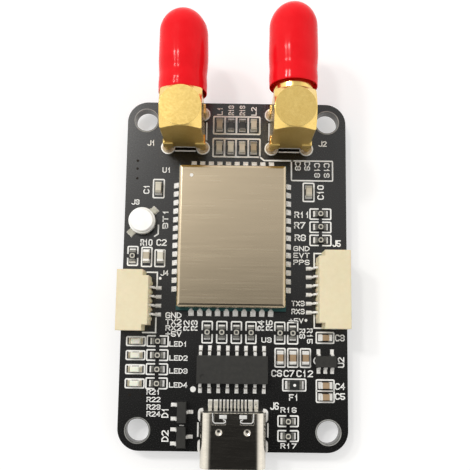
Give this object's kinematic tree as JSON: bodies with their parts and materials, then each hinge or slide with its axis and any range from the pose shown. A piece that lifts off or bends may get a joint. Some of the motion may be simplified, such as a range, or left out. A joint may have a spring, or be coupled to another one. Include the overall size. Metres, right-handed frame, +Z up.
{
  "type": "gps module",
  "caption": "Black satellite positioning receiver board with a shielded module, right-angle coaxial antenna jacks under red dust caps, a USB-C socket and cream side-entry headers.",
  "frame": {"origin": "centre of the four mounting holes, on the underside of the circuit board", "axes": "+Y towards the antenna jacks, +Z up through the parts on the board, +X to the right"},
  "size_m": [0.0322, 0.064, 0.0131],
  "materials": {
    "board": "semi-gloss solder mask over glass-fibre laminate",
    "solder": "bright tin",
    "module_substrate": "green laminate",
    "shield": "brushed nickel silver",
    "gold": "gold plate",
    "red_vinyl": "glossy dipped vinyl",
    "header_plastic": "cream moulded nylon",
    "usb_steel": "polished nickel plate",
    "cell_steel": "bright nickel plate",
    "chip_black": "moulded epoxy",
    "insulator": "smooth white fluoropolymer",
    "ceramic": "fired tan ceramic",
    "terminal": "tinned",
    "lamp_base": "white laminate",
    "lamp_lens": "pale resin",
    "fuse": "green film",
    "silkscreen": "printed white ink"
  },
  "bodies": {
    "root": {"circuit_board": "board", "solder_joints": "solder", "module_board": "module_substrate", "module_solder": "solder", "module_shield": "shield", "receiver_chip": "chip_black", "module_oscillator": "gold", "module_memory": "chip_black", "signal_filters": "ceramic", "module_capacitors": "ceramic", "left_jack_body": "gold", "left_jack_insulator": "insulator", "left_jack_contact": "gold", "left_dust_cap": "red_vinyl", "right_jack_body": "gold", "right_jack_insulator": "insulator", "right_jack_contact": "gold", "right_dust_cap": "red_vinyl", "usb_shell": "usb_steel", "usb_insulator": "chip_black", "usb_contacts": "gold", "left_header_housing": "header_plastic", "left_header_contacts": "terminal", "left_header_tabs": "terminal", "right_header_housing": "header_plastic", "right_header_contacts": "terminal", "right_header_tabs": "terminal", "backup_cell": "cell_steel", "cell_side_tab": "cell_steel", "cell_bottom_tab": "cell_steel", "serial_chip_body": "chip_black", "serial_chip_leads": "terminal", "regulator_body": "chip_black", "regulator_leads": "terminal", "upper_diode_body": "chip_black", "upper_diode_leads": "terminal", "lower_diode_body": "chip_black", "lower_diode_leads": "terminal", "lamp_bases": "lamp_base", "lamp_lenses": "lamp_lens", "lamp_terminals": "gold", "capacitor_bodies": "ceramic", "capacitor_terminals": "terminal", "resistor_bodies": "chip_black", "resistor_terminals": "terminal", "fuse_body": "fuse", "fuse_terminals": "terminal"}
  },
  "joints": []
}
